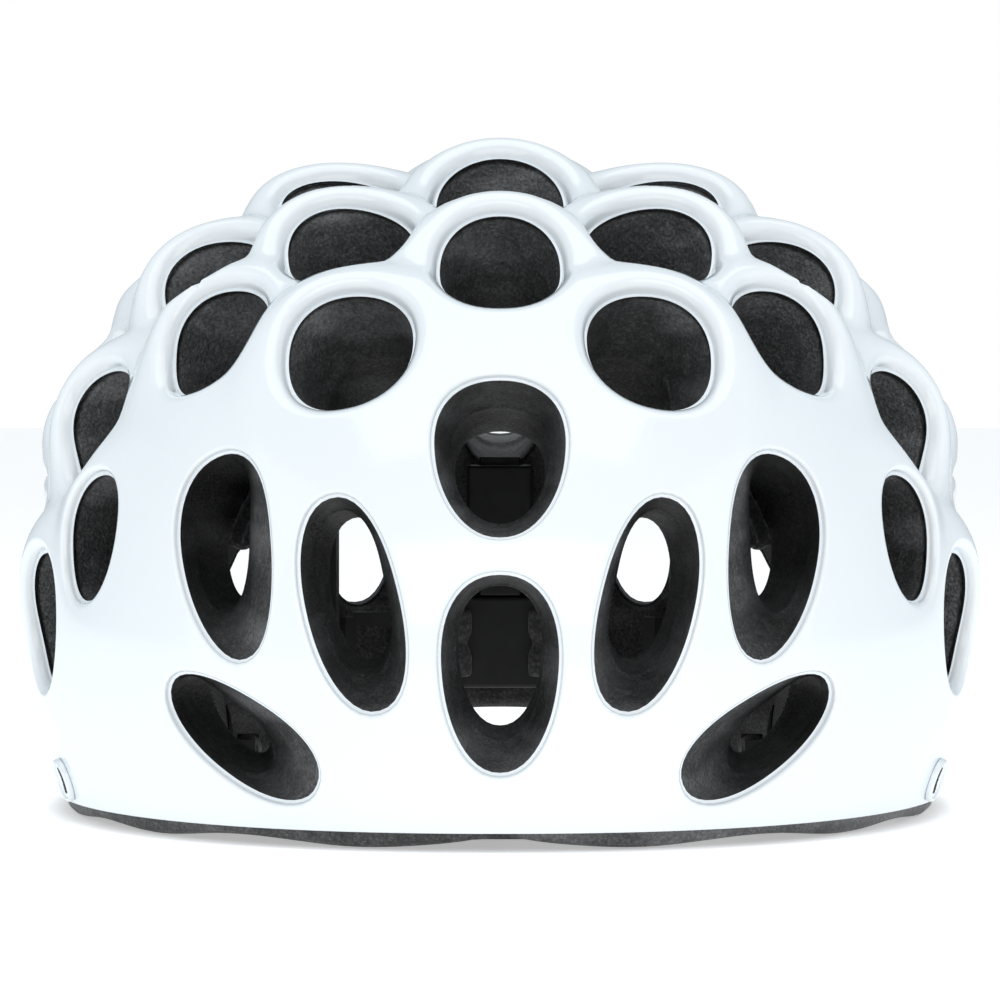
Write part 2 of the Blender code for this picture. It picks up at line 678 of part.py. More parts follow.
def make_cradle():
    wide, tall = CASE_HALF_WIDTH, CASE_HALF_HEIGHT
    low, high = CRADLE_Z - tall, CRADLE_Z + tall
    case = box("cradle_case", (-wide, CASE_Y[0], low), (wide, CASE_Y[1], high), BLACK_PLASTIC, 0.8)
    inner, outer = (-wide - 1, CASE_Y[0] - 1, low + 2), (wide + 1, CASE_Y[1] - 2, high - 2)
    cut(
        case,
        box("case_hollow", inner, outer, BLACK_PLASTIC),
        axial("case_bore", (CASE_Y[1] - 4, CASE_Y[1] + 1), 2.4),
    )
    box("cradle_cover", (-wide, COVER_Y[0], low), (wide, COVER_Y[1], high), BLACK_PLASTIC, 0.8)
    for side, word in ((-1, "left"), (1, "right")):
        make_band(side, word)
        near, far = (6, COVER_Y[0] - 4.3, low + 2), (22, COVER_Y[0] - GAP, high - 2)
        side_box(f"occipital_pad_{word}", side, near, far, PAD_CLOTH, 1.5)
    make_dial()
    strut_y = (82.5, 84.3)
    box("cradle_strut", (-5, strut_y[0], high + 0.4), (5, strut_y[1], STRUT_TOP), BLACK_PLASTIC, 0.4)
    rail = box("strut_rail", (-8, 80.6, RAIL_Z[0]), (8, 86.2, RAIL_Z[1]), BLACK_PLASTIC, 0.8)
    fuse(rail, box("rail_foot", (-4, 85, 66), (4, 91.3, 71), BLACK_PLASTIC))
    inner, outer = (-5.5, strut_y[0] - 0.5, RAIL_Z[0] - 2), (5.5, strut_y[1] + 0.5, RAIL_Z[1] + 2)
    cut(rail, box("rail_channel", inner, outer, BLACK_PLASTIC))


# ---------------------------------------------------------------- joint axes


def carry(name, pivot, *pieces):
    """An empty on a joint's axis that carries the pieces which move about or along it."""
    axis = bpy.data.objects.new(f"axis_{name}", None)
    axis.location = (Vector(pivot) - Vector((0, MIDDLE_Y, 0))) * MM
    parts.objects.link(axis)
    for piece in pieces:
        child = bpy.data.objects[piece]
        child.parent = axis
        child.matrix_parent_inverse = Matrix.Translation(-axis.location)


def make_axes():
    for side, word in ((-1, "left"), (1, "right")):
        carry(f"lever_{word}", (side * LEVER_PIVOT[0], 0, LEVER_PIVOT[1]), f"divider_lever_{word}")
    for end, word in ((-1, "front"), (1, "rear")):
        carry(f"prong_{word}", (-CHIN_X, end * PRONG_PIVOT_Y, PRONG_PIVOT_Z), f"buckle_prong_{word}")
    carry("insert", (-CHIN_X, 0, BUCKLE_MOUTH), "buckle_male", "axis_prong_front", "axis_prong_rear")
    carry("keeper", (CHIN_X, 0, KEEPER_Z[0]), "strap_keeper")
    carry("chin_left", (-CHIN_PIN_X, 0, CHIN_PIN_Z), "chin_strap_left", "buckle_female", "axis_insert")
    carry("chin_right", (CHIN_PIN_X, 0, CHIN_PIN_Z), "chin_strap_right", "chin_pad", "axis_keeper")
    for side, word in ((-1, "left"), (1, "right")):
        straps = f"strap_front_{word}", f"strap_rear_{word}", f"divider_{word}"
        swings = f"axis_lever_{word}", f"axis_chin_{word}"
        carry(f"harness_{word}", (side * SWING_X, 0, SWING_Z), *straps, *swings)
        carry(f"band_{word}", (0, RACK_Y, CRADLE_Z), f"band_{word}")
    carry("dial", (0, KNOB_Y[0], CRADLE_Z), "dial_knob", "dial_pinion", "dial_screw")
    fixed = "cradle_case", "cradle_cover", "cradle_strut", "detent_spring"
    pads = "occipital_pad_left", "occipital_pad_right"
    moving = "axis_dial", "axis_band_left", "axis_band_right"
    carry("cradle", (0, RACK_Y, CRADLE_Z), *fixed, *pads, *moving)


make_shell()
make_liner()
make_plugs()
make_pads()
make_harness()
make_cradle()
make_axes()
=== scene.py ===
"""Looks for the vented cycling helmet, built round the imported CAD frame.

Front is -Y and up is +Z. Lengths in the shape functions are millimetres and become metres in make_mesh().
The dome's own axes are the helmet's, tipped by PITCH about DOME_CENTRE, and a direction d is a unit vector
in them.
"""

import copy
import math

import bpy
import numpy as np
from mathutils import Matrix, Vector
from mathutils.geometry import delaunay_2d_cdt


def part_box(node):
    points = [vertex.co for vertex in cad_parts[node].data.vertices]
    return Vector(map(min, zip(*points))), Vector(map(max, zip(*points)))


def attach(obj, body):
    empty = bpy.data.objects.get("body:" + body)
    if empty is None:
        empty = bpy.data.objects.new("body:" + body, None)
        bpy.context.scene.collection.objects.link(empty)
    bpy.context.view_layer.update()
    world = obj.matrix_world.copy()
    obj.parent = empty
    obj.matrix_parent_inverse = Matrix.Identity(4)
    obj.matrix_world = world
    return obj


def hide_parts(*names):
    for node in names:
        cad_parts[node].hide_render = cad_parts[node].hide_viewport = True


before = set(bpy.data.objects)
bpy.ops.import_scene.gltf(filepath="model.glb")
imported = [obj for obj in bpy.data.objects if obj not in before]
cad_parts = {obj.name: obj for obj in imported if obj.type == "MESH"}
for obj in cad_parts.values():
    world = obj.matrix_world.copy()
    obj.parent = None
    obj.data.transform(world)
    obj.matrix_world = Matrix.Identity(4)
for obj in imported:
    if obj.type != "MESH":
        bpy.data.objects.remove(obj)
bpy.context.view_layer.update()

MM = 0.001
SHARP_ANGLE = math.radians(40)

# Dome, head cavity and nape arch, as in the CAD.
DOME_CENTRE = np.array([0.0, -5.2, 38.0])
PITCH = math.radians(3.45)
HALF_WIDTH = 106.0
FRONT_REACH, REAR_REACH = 138.0, 146.0
DOME_RISE, DOME_DROP = 102.0, 88.0
FULLNESS = 2.15
CAVITY_CENTRE = np.array([0.0, -1.4, 30.0])
CAVITY_SIZE = np.array([78.0, 104.5, 82.0])
ARCH_HALF, ARCH_HIGH = 57.0, 15.0
ARCH_FRONT_Y, ARCH_FULL_Y, ARCH_SLOPE = 40.0, 137.0, 0.04

# Vents: angle back from the brow, angle out to the side, half width, half length, lean, taper, height of
# the hood behind it, the radius its edge rolls over, how straight its tunnel runs fore and aft, and the
# share of the outline left at the tunnel's inner end. A centre vent has no side angle and no lean.
CENTRE_VENTS = (
    (2.7, 12.6, 21.3, -0.14, 0.0, 0.9, 1.0, 0.93),
    (22.5, 14.2, 19.3, -0.14, 0.0, 0.9, 0.45, 0.92),
    (49.0, 13.8, 16.5, 0.0, 8.0, 3.6, 0.0, 0.92),
    (71.0, 15.0, 17.0, 0.0, 10.5, 3.6, 0.0, 0.92),
    (96.0, 15.0, 19.0, 0.0, 9.5, 3.6, 0.0, 0.92),
    (124.0, 15.0, 22.0, 0.0, 8.0, 3.6, 0.0, 0.92),
    (156.0, 14.0, 25.0, 0.0, 4.0, 3.6, 0.3, 0.92),
)
PAIRED_VENTS = (
    (9.0, 13.0, 10.7, 24.0, 15.0, 0.0, 0.0, 0.9, 0.85, 0.92),
    (14.4, 26.0, 12.3, 24.0, 14.0, -0.16, 0.0, 0.9, 0.85, 0.86),
    (-3.9, 24.3, 9.6, 21.3, 65.0, 0.12, 0.0, 0.9, 1.08, 0.84),
    (36.5, 15.0, 14.4, 16.8, 0.0, 0.0, 5.0, 3.6, 0.0, 0.92),
    (58.0, 17.0, 14.4, 15.5, 0.0, 0.0, 9.0, 3.6, 0.0, 0.92),
    (80.0, 19.5, 14.5, 17.0, 0.0, 0.0, 10.5, 3.6, 0.0, 0.92),
    (106.0, 20.5, 15.0, 21.0, 0.0, 0.0, 9.0, 3.6, 0.0, 0.92),
    (137.0, 21.0, 14.0, 24.0, 0.0, 0.0, 7.0, 3.6, 0.0, 0.92),
    (174.5, 14.5, 13.0, 25.0, 0.0, 0.0, 3.0, 3.2, 0.8, 0.92),
    (21.0, 47.5, 11.7, 14.5, -3.0, 0.0, 2.5, 1.6, 0.2, 0.7),
    (45.5, 31.5, 12.5, 15.0, -10.0, 0.0, 7.0, 3.6, 0.0, 0.92),
    (65.5, 35.0, 13.5, 15.5, -5.0, 0.0, 10.5, 3.6, 0.0, 0.92),
    (93.0, 40.5, 14.0, 19.0, 0.0, 0.0, 9.0, 3.6, 0.0, 0.92),
    (126.0, 40.5, 13.5, 19.0, 0.0, 0.0, 8.0, 3.6, 0.0, 0.92),
    (156.0, 37.0, 13.0, 18.5, 0.0, 0.0, 3.5, 3.2, 0.2, 0.92),
    (178.5, 29.0, 13.0, 16.5, 0.0, 0.0, 2.0, 2.8, 0.8, 0.92),
    (46.5, 51.5, 11.5, 15.0, -5.0, 0.0, 7.5, 3.6, 0.0, 0.92),
    (9.5, 62.5, 12.0, 15.0, 0.0, 0.0, 4.0, 2.5, 0.0, 0.7),
    (82.0, 58.5, 13.0, 17.5, 0.0, 0.0, 7.0, 3.6, 0.0, 0.92),
    (121.5, 60.0, 13.0, 17.0, 0.0, 0.0, 6.0, 3.6, 0.0, 0.92),
    (79.0, 76.0, 10.5, 19.0, 11.0, 0.0, 2.0, 2.5, 0.0, 0.92),
    (156.5, 64.5, 10.0, 17.5, -67.0, 0.0, 2.0, 2.5, 0.0, 0.92),
)
OUTLINE_FULLNESS = 2.2
HOOD_SPREAD, HOOD_LEAN = 13.0, 0.6
TUNNEL_GUESS = 30.0

# Skins: points round the rim and round each vent, and the angle between scattered points. A ring of points
# becomes a line of edges where it keeps FENCE_GAP from other vents and FENCE_ROOM radians from the rim.
FENCE_GAP, FENCE_ROOM = 0.3, 0.01
RIM_POINTS, RING_POINTS, SHELL_SPACING = 420, 72, 0.0145
FOAM_RIM, FOAM_RING, FOAM_SPACING = 360, 64, 0.036

# Shell: height of its lower edge, wall, lip down each tunnel, the angles its edge rolls through, and the
# distances past the roll of further rings.
SHELL_EDGE, SHELL_WALL, LIP_DEPTH = 3.5, 0.6, 0.7
ROLL_ANGLES = (0, 20, 40, 60, 78)
RING_STEPS = (0.0, 0.3, 0.8, 1.6)

# Foam: depth below the shell, height of its outer and inner edge, scallops and centre notch of the brow
# edge, rings round each mouth, depths of the rings down each tunnel, and the rim's section as a share of
# the way inwards with the share of the edge's height left there.
FOAM_SINK = 1.3
FOAM_EDGE, CAVITY_EDGE = 2.2, 2.5
WAVE, WAVE_COUNT, WAVE_END = 1.5, 14, 1.6
NOTCH, NOTCH_WIDE = 1.2, 0.05
MOUTH_STEPS, MOUTH_MARGIN = (-0.25, 0.6, 2.0, 4.2), 5.5
CAVITY_STEP, CAVITY_MARGIN = 2.0, 4.0
TUNNEL_DEPTHS = (0.03, 0.1, 0.18, 0.26, 0.34, 0.42, 0.48, 0.5, 0.53, 0.56, 0.64, 0.72, 0.8, 0.88, 0.92, 0.95,
                 0.975, 0.99)
RIM_SECTION = ((0.01, 0.45), (0.04, 0.12), (0.08, 0.0), (0.3, 0.0), (0.6, 0.0), (0.88, 0.0), (0.95, 0.15),
               (0.985, 0.5))

# Plugs: height and radius along the stem and round the edge, then the face with its dish and slot.
PLUG_PROFILE = ((-3.2, 3.6), (-3.2, 4.5), (2.6, 4.5), (2.6, 4.9), (3.3, 4.9), (3.7, 4.75), (3.9, 4.4),
                (3.8, 4.0))
PLUG_SIDES, FACE_RINGS = 64, 22
FACE_HEIGHT, FACE_RADIUS, FACE_DISH = 3.55, 3.8, 0.25
SLOT_HALF, SLOT_DEEP, SLOT_EDGE = (1.25, 2.8), 0.6, 0.06

# Webbing: its section, then bar tacks of zigzag rows, then the straps' places as in the CAD.
WEB_WIDTH, WEB_THICK, WEB_STEP, WEB_SIDES = 15.0, 0.62, 1.1, 24
WEB_RIB, WEB_PICK = 1.5, 1.3
TACK_ROWS, TACK_GAP, TACK_HALF, TACK_RADIUS = 6, 0.62, 5.4, 0.24
TACK_STEPS, TACK_SIDES = 9, 5
SWING, CHIN_PIN, LOOP_RADIUS = (59.5, 8.0), (44.0, 88.0), 2.65
ANCHOR_BACK = {"front": (-42.9, -11.2), "rear": (39.1, 5.4)}
DIVIDER_MIDDLE, DIVIDER_ENTRY = 57.75, 70.0
STRAP_BULGE, STRAP_TACK = 8.0, 20.0
CHIN_BACK, CHIN_ENDS = -2.9, {"left": 61.2, "right": 32.0}
CHIN_TACKS = {"left": (16.0,), "right": (16.0, 58.0)}

# Pads: the solid, its body, how far the cover starts inside it, the size of its mesh, and its sewn
# channels as shares of its length.
PADS = (
    ("brow_pad", "root", 0.5, 1.0, (0.2, 0.4, 0.6, 0.8)),
    ("crown_pad_left", "root", 0.5, 1.0, (0.25, 0.5, 0.75)),
    ("crown_pad_right", "root", 0.5, 1.0, (0.25, 0.5, 0.75)),
    ("temple_pad_left", "root", 0.5, 1.0, (0.33, 0.67)),
    ("temple_pad_right", "root", 0.5, 1.0, (0.33, 0.67)),
    ("occipital_pad_left", "cradle", 0.5, 1.0, (0.5,)),
    ("occipital_pad_right", "cradle", 0.5, 1.0, (0.5,)),
    ("chin_pad", "chin_right", 0.2, 0.6, (0.1, 0.9)),
)
PAD_PRESSURE, PAD_MASS, PAD_FRAMES, PAD_SWELL = 12.0, 0.05, 16, 2.0
PAD_ROUNDS = 6
CREASE_DEEP, CREASE_WIDE = 1.3, 1.6

# Stage, in metres.
FLOOR_CORNERS = ((-6, -6), (6, -6), (6, 6), (-6, 6))
FLOOR_HEIGHT, FLOOR_GLOW = -0.0003, 0.4
LIGHTS = (
    ("top", (0, -0.1, 1.4), (0, 0, 0.05), (1.4, 1.4), 6),
    ("front", (0, -2.2, 0.9), (0, 0, 0.07), (2.2, 1.0), 9),
    ("left", (-1.5, -0.5, 0.6), (0, 0, 0.07), (0.8, 1.4), 1.5),
    ("right", (1.5, -0.5, 0.6), (0, 0, 0.07), (0.8, 1.4), 1.5),
)
SKY_COLOUR, SKY_STRENGTH = (0.9, 0.96, 1.0, 1.0), 0.62
CAMERA_TARGET = Vector((0.0, -0.007, 0.06785))
CAMERA_RISE, CAMERA_AWAY = math.radians(1.55), 1.25
FOCAL_WIDTHS, SENSOR = 5.525, 36.0


# ---------------------------------------------------------------- dome, vents and hoods


def unit(v):
    return v / np.linalg.norm(v, axis=-1, keepdims=True)


def heading(back, side):
    """Direction at an angle back from the brow and out to the side, in degrees."""
    b, s = math.radians(back), math.radians(side)
    return np.array([math.sin(s), -math.cos(s) * math.cos(b), math.cos(s) * math.sin(b)])


def tipped(points):
    """From the dome's own axes to the helmet's."""
    c, s = math.cos(PITCH), math.sin(PITCH)
    x, y, z = points[..., 0], points[..., 1], points[..., 2]
    return np.stack([x, y * c - z * s, y * s + z * c], -1) + DOME_CENTRE


def level(points):
    """From the helmet's axes to the dome's own."""
    c, s = math.cos(PITCH), math.sin(PITCH)
    x, y, z = (points - DOME_CENTRE).T
    return np.stack([x, y * c + z * s, z * c - y * s], -1)


def dome_radius(d):
    """Distance from the dome's centre to the plain dome along d."""
    reach = np.where(d[..., 1] > 0, REAR_REACH, FRONT_REACH)
    rise = np.where(d[..., 2] > 0, DOME_RISE, DOME_DROP)
    total = (
        np.abs(d[..., 0] / HALF_WIDTH) ** FULLNESS
        + np.abs(d[..., 1] / reach) ** FULLNESS
        + np.abs(d[..., 2] / rise) ** FULLNESS
    )
    return total ** (-1 / FULLNESS)


def cavity_radius(d):
    """Distance from the dome's centre to the head cavity's wall along d."""
    world = tipped(d) - DOME_CENTRE
    start = (DOME_CENTRE - CAVITY_CENTRE) / CAVITY_SIZE
    step = world / CAVITY_SIZE
    a = (step * step).sum(-1)
    b = (step * start).sum(-1)
    c = (start * start).sum() - 1
    return (-b + np.sqrt(b * b - a * c)) / a


class Vent:
    """A vent's outline, drawn on the plane that touches the dome at the vent's middle."""

    def __init__(self, back, side, width, length, lean, taper, hood, roll, straight, narrowed):
        self.width, self.length, self.taper, self.hood, self.roll = width, length, taper, hood, roll
        self.d = heading(back, side)
        self.reach = float(dome_radius(self.d))
        rearward = unit(heading(back + 0.5, side) - heading(back - 0.5, side))
        outward = np.cross(rearward, self.d)
        turn = math.radians(lean)
        self.up = rearward * math.cos(turn) + outward * math.sin(turn)
        self.across = outward * math.cos(turn) - rearward * math.sin(turn)
        aside = np.sign(side) * HOOD_LEAN if side else 0.0
        self.hood_way = unit(self.up + self.across * aside)
        self.inner = self.inner_end(straight, narrowed)

    def inner_end(self, straight, narrowed):
        """The same outline where the tunnel meets the head cavity."""
        mouth = self.d * self.reach
        way = unit(self.d * (straight - 1) + np.array([0, -np.sign(self.d[1]) * straight, 0]))
        length = TUNNEL_GUESS
        for _ in range(20):
            length += (np.linalg.norm(mouth + way * length) - cavity_radius(unit(mouth + way * length))) * 0.8
        end = copy.copy(self)
        end.width, end.length = self.width * narrowed, self.length * narrowed
        end.d = unit(mouth + way * length)
        end.reach = float(dome_radius(end.d))
        end.across = unit(self.across - end.d * (self.across @ end.d))
        end.up = np.cross(end.d, end.across) * np.sign(np.cross(end.d, end.across) @ self.up)
        return end

    def gauge(self, x, y):
        """1 on the outline, less inside."""
        wide = self.width * (1 - self.taper * np.clip(y / self.length, -1.6, 1.6))
        n = OUTLINE_FULLNESS
        return (np.abs(x / wide) ** n + np.abs(y / self.length) ** n) ** (1 / n)

    def edge(self, d):
        """Distance outside the outline, and how far round towards the hood each direction lies, 0 to 1."""
        ahead = d @ self.d
        q = d * (self.reach / np.maximum(ahead, 0.15))[..., None]
        x, y = q @ self.across, q @ self.up
        out = np.maximum(np.hypot(x, y), 1e-6)
        delta = np.where(ahead > 0.15, out * (1 - 1 / np.maximum(self.gauge(x, y), 1e-6)), 999.0)
        return delta, np.clip(0.5 + 0.5 * (q @ self.hood_way) / out, 0, 1)

    def ring(self, count, offset):
        """Directions of count points round the outline, offset outwards."""
        turn = 2 * math.pi * np.arange(count) / count
        x, y = np.cos(turn), np.sin(turn)
        out = 1 / self.gauge(x, y)
        for _ in range(12):
            out /= self.gauge(x * out, y * out)
        out += offset
        flat = self.across * (x * out)[:, None] + self.up * (y * out)[:, None]
        return unit(self.d * self.reach + flat)


VENTS = [Vent(back, 0.0, w, l, 0.0, *rest) for back, w, l, *rest in CENTRE_VENTS]
for back, side, w, l, lean, *rest in PAIRED_VENTS:
    VENTS.append(Vent(back, side, w, l, lean, *rest))
    VENTS.append(Vent(back, -side, w, l, -lean, *rest))
INNER_ENDS = [vent.inner for vent in VENTS]


def nearest_edge(d, vents):
    return np.min([vent.edge(d)[0] for vent in vents], axis=0)


def lift(d):
    """Height of the shell over the plain dome: hoods behind the vents, less the roll into each vent."""
    hoods, drop = np.zeros(d.shape[:-1]), np.zeros(d.shape[:-1])
    for vent in VENTS:
        delta, toward = vent.edge(d)
        x = np.clip((delta - vent.roll) / HOOD_SPREAD, 0, 1)
        hoods += (vent.hood * (1 - x * x) ** 2 * toward**2.5) ** 4
        t = np.clip(1 - delta / vent.roll, 0, 1)
        drop = np.maximum(drop, vent.roll * (1 - np.sqrt(1 - t * t)))
    return hoods**0.25 - drop


def shell_radius(d):
    return dome_radius(d) + lift(d)


# ---------------------------------------------------------------- skins over the dome


def flattened(d):
    """Directions as points on a plane: distance is the angle from straight up."""
    tilt = np.arccos(np.clip(d[..., 2], -1, 1))
    turn = np.arctan2(d[..., 1], d[..., 0])
    return np.stack([tilt * np.cos(turn), tilt * np.sin(turn)], -1)


def arch_height(points, grow):
    """Height of the nape arch, which rises towards the back, grown by grow all round."""
    x = np.clip(points[..., 0] / (ARCH_HALF + grow), -1, 1)
    height = ARCH_SLOPE * (points[..., 1] - ARCH_FULL_Y) + (ARCH_HIGH + grow) * np.sqrt(1 - x * x)
    return np.where(points[..., 1] > ARCH_FRONT_Y, height, 0.0)


def above_edge(points, edge):
    """How far points lie above the rim, whose height is edge, or the nape arch at the back."""
    return points[..., 2] - np.maximum(edge, arch_height(points, edge))


def rim_ring(radius, count, edge):
    """Directions round the rim of the surface that radius(d) gives."""
    turn = 2 * math.pi * (np.arange(count) + 0.5) / count
    low, high = np.full(count, 1.2), np.full(count, 2.6)
    for _ in range(30):
        tilt = (low + high) / 2
        d = np.stack([np.sin(tilt) * np.cos(turn), np.sin(tilt) * np.sin(turn), np.cos(tilt)], -1)
        inside = above_edge(tipped(d * radius(d)[:, None]), edge) > 0
        low, high = np.where(inside, tilt, low), np.where(inside, high, tilt)
    return d


def scatter(spacing):
    """Evenly spread directions, spacing apart in radians."""
    count = int(4 * math.pi / (0.866 * spacing**2))
    k = np.arange(count) + 0.5
    z = 1 - 2 * k / count
    turn = math.pi * (1 + math.sqrt(5)) * k
    flat = np.sqrt(1 - z * z)
    return np.stack([flat * np.cos(turn), flat * np.sin(turn), z], -1)


def triangulated(vents, rim, rings, spacing, margins):
    """Directions, triangles and open loops of a skin between the rim and the vents. rings[i] holds the
    loops of directions round vent i, the innermost first, and margins[i] is how far off that vent the
    scattered points stay."""
    order = np.argsort(np.arctan2(rim[:, 1], rim[:, 0]))
    rim = rim[order]
    rim_turn, rim_tilt = np.arctan2(rim[:, 1], rim[:, 0]), np.arccos(rim[:, 2])

    def room(d):
        limit = np.interp(np.arctan2(d[:, 1], d[:, 0]), rim_turn, rim_tilt, period=2 * math.pi)
        return limit - np.arccos(d[:, 2])

    blocks, loops, fences = [rim], [np.arange(len(rim))], []
    start = len(rim)
    for vent, own_rings in zip(vents, rings):
        loops.append(np.arange(start, start + len(own_rings[0])))
        blocks.append(own_rings[0])
        start += len(own_rings[0])
        others = [other for other in vents if other is not vent]
        for ring in own_rings[1:]:
            own, other = vent.edge(ring)[0], nearest_edge(ring, others)
            near = (other > own) & (room(ring) > 0)
            blocks.append(ring[near])
            if near.all() and (other > own + FENCE_GAP).all() and (room(ring) > FENCE_ROOM).all():
                fences.append(np.arange(start, start + len(ring)))
            start += int(near.sum())
    dots = scatter(spacing)
    dots = dots[room(dots) > 0.6 * spacing]
    clear = [vent.edge(dots)[0] - margin for vent, margin in zip(vents, margins)]
    blocks.append(dots[np.min(clear, axis=0) > 0])
    d = np.concatenate(blocks)
    edges = [(int(a), int(b)) for loop in loops + fences for a, b in zip(loop, np.roll(loop, -1))]
    made = delaunay_2d_cdt([Vector(p) for p in flattened(d)], edges, [], 0, 1e-7)
    source = np.array([origins[0] for origins in made[3]])
    triangles = source[np.array(made[2])]
    owner = np.full(len(d), -1)
    for number, loop in enumerate(loops):
        owner[loop] = number
    owners = owner[triangles]
    same = (owners >= 0) & (owners == owners[:, :1])
    same = same.all(1)
    outside = same & ((owners[:, 0] > 0) | (room(unit(d[triangles].mean(1))) < 1e-6))
    return d, triangles[~outside], loops


def quads(first, second):
    """Faces between two closed loops of as many points."""
    a, b = np.asarray(first), np.asarray(second)
    return np.stack([a, np.roll(a, -1), np.roll(b, -1), b], -1)


def make_mesh(name, points, faces, material, smooth=True):
    """An object from points in millimetres."""
    mesh = bpy.data.meshes.new(name)
    mesh.from_pydata((np.asarray(points) * MM).tolist(), [], [tuple(map(int, f)) for f in faces])
    mesh.materials.append(material)
    if smooth:
        mesh.shade_smooth()
    mesh.validate()
    made = bpy.data.objects.new(name, mesh)
    bpy.context.scene.collection.objects.link(made)
    return made


# ---------------------------------------------------------------- shell and foam


def make_shell(material):
    """The white skin: rolled into every vent, with a lip that goes on down the tunnel."""
    rim = rim_ring(shell_radius, RIM_POINTS, SHELL_EDGE)
    bends = 1 - np.cos(np.radians(ROLL_ANGLES))
    rings = []
    for vent in VENTS:
        offsets = list(vent.roll * bends) + [vent.roll + out for out in RING_STEPS]
        rings.append([vent.ring(RING_POINTS, offset) for offset in offsets])
    margins = [vent.roll + RING_STEPS[-1] + 1.0 for vent in VENTS]
    d, triangles, loops = triangulated(VENTS, rim, rings, SHELL_SPACING, margins)
    points = [tipped(d * shell_radius(d)[:, None])]
    faces = [tuple(t) for t in triangles]
    count = len(d)
    for loop in loops[1:]:
        points.append(tipped(d[loop] * (shell_radius(d[loop]) - LIP_DEPTH)[:, None]))
        faces += [tuple(q) for q in quads(np.arange(count, count + len(loop)), loop)]
        count += len(loop)
    shell = make_mesh("shell_skin", np.concatenate(points), faces, material)
    wall = shell.modifiers.new("wall", "SOLIDIFY")
    wall.thickness = SHELL_WALL * MM
    wall.offset = -1.0
    settle(shell)
    shell.data.set_sharp_from_angle(angle=SHARP_ANGLE)
    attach(shell, "root")
    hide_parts("outer_shell")


def rim_wave(d):
    """Height of the foam's lower edge: shallow scallops across the brow."""
    turn = np.arctan2(d[..., 0], -d[..., 1])
    near = np.clip(WAVE_END - np.abs(turn), 0, 1)
    scallops = 0.5 + 0.5 * np.cos(turn * WAVE_COUNT)
    return WAVE * near * scallops + NOTCH * np.exp(-((turn / NOTCH_WIDE) ** 2))


def foam_radius(d):
    return shell_radius(d) - FOAM_SINK


def tunnel_step(s):
    """How far the tunnel's wall lies outside the vent's outline at depth s, 0 at the mouth, 1 inside."""
    if s < 0.5:
        return -0.25 - 2.0 * s
    if s < 0.54:
        return -1.6
    bell = min(max(0.0, (s - 0.9) / 0.1), 1.0)
    return -0.8 + 0.8 * (s - 0.54) / 0.46 + 1.4 * (1 - math.sqrt(1 - bell**2))


def make_foam(material):
    """Bead foam: outer skin, tunnels, cavity wall, and the rounded rim between outside and inside."""
    outer_rim = rim_ring(foam_radius, FOAM_RIM, FOAM_EDGE)
    outer_rings = [[v.ring(FOAM_RING, o) for o in MOUTH_STEPS] for v in VENTS]
    margins = [MOUTH_MARGIN] * len(VENTS)
    d, triangles, loops = triangulated(VENTS, outer_rim, outer_rings, FOAM_SPACING, margins)
    points = [tipped(d * foam_radius(d)[:, None])]
    faces = [tuple(t) for t in triangles]
    inner_rim = rim_ring(cavity_radius, FOAM_RIM, CAVITY_EDGE)
    last_step = tunnel_step(1.0)
    inner_steps = (last_step, last_step + CAVITY_STEP)
    inner_rings = [[v.ring(FOAM_RING, o) for o in inner_steps] for v in INNER_ENDS]
    margins = [CAVITY_MARGIN] * len(INNER_ENDS)
    e, inner, inner_loops = triangulated(INNER_ENDS, inner_rim, inner_rings, FOAM_SPACING, margins)
    points.append(tipped(e * cavity_radius(e)[:, None]))
    faces += [tuple(t) for t in inner[:, ::-1] + len(d)]
    count = len(d) + len(e)
    for vent, loop, inner_loop in zip(VENTS, loops[1:], inner_loops[1:]):
        mouth = foam_radius(d[loop])
        last = loop
        for s in TUNNEL_DEPTHS:
            step = tunnel_step(s)
            ring_d = unit(vent.ring(FOAM_RING, step) * (1 - s) + vent.inner.ring(FOAM_RING, step) * s)
            radius = mouth * (1 - s) + cavity_radius(ring_d) * s
            points.append(tipped(ring_d * radius[:, None]))
            ring = np.arange(count, count + FOAM_RING)
            faces += [tuple(q) for q in quads(ring, last)]
            last, count = ring, count + FOAM_RING
        faces += [tuple(q) for q in quads(inner_loop + len(d), last)]
    placed = np.concatenate(points)
    outside, inside = placed[loops[0]], placed[inner_loops[0] + len(d)]
    last = loops[0]
    for share, rise in RIM_SECTION:
        flat = outside * (1 - share) + inside * share
        floor = np.maximum(arch_height(flat, 0.0), rim_wave(d[loops[0]]))
        edge = np.where(share < 0.5, outside[:, 2], inside[:, 2])
        flat[:, 2] = floor + np.maximum(edge - floor, 0) * rise
        points.append(flat)
        ring = np.arange(count, count + FOAM_RIM)
        faces += [tuple(q) for q in quads(ring, last)]
        last, count = ring, count + FOAM_RIM
    faces += [tuple(q) for q in quads(inner_loops[0] + len(d), last)]
    foam = make_mesh("foam_body", np.concatenate(points), faces, material)
    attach(foam, "root")
    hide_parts("foam_liner")


# ---------------------------------------------------------------- looks


